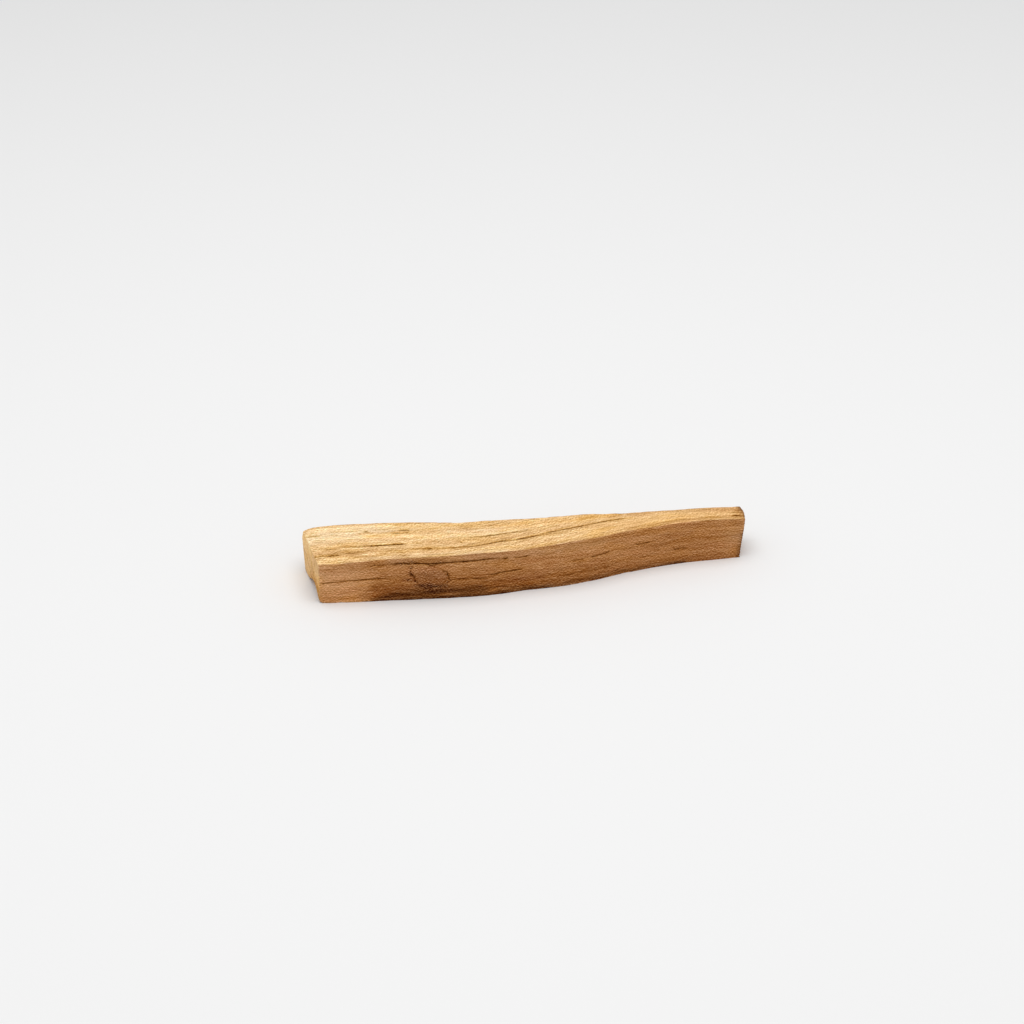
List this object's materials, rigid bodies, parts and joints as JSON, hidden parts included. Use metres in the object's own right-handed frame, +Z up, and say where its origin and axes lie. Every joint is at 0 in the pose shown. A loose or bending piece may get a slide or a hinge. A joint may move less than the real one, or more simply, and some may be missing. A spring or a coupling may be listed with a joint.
{
  "type": "palo santo stick",
  "caption": "Hand-length stick of split aromatic wood with two saw-cut ends, a gentle bow, a taper and a knot, burned or held as incense.",
  "frame": {"origin": "middle of the bounding box's bottom face, at the level of the surface the stick lies on", "axes": "+X along the stick from its wide end to its narrow end, +Y from the front face with the knot to the back face, +Z up"},
  "size_m": [0.1023, 0.0238, 0.0113],
  "materials": {
    "wood": "raw split and sawn wood, dry and matt, pale yellow with brown resin streaks along the grain and fine open cracks"
  },
  "bodies": {
    "root": {"stick": "wood"}
  },
  "joints": []
}
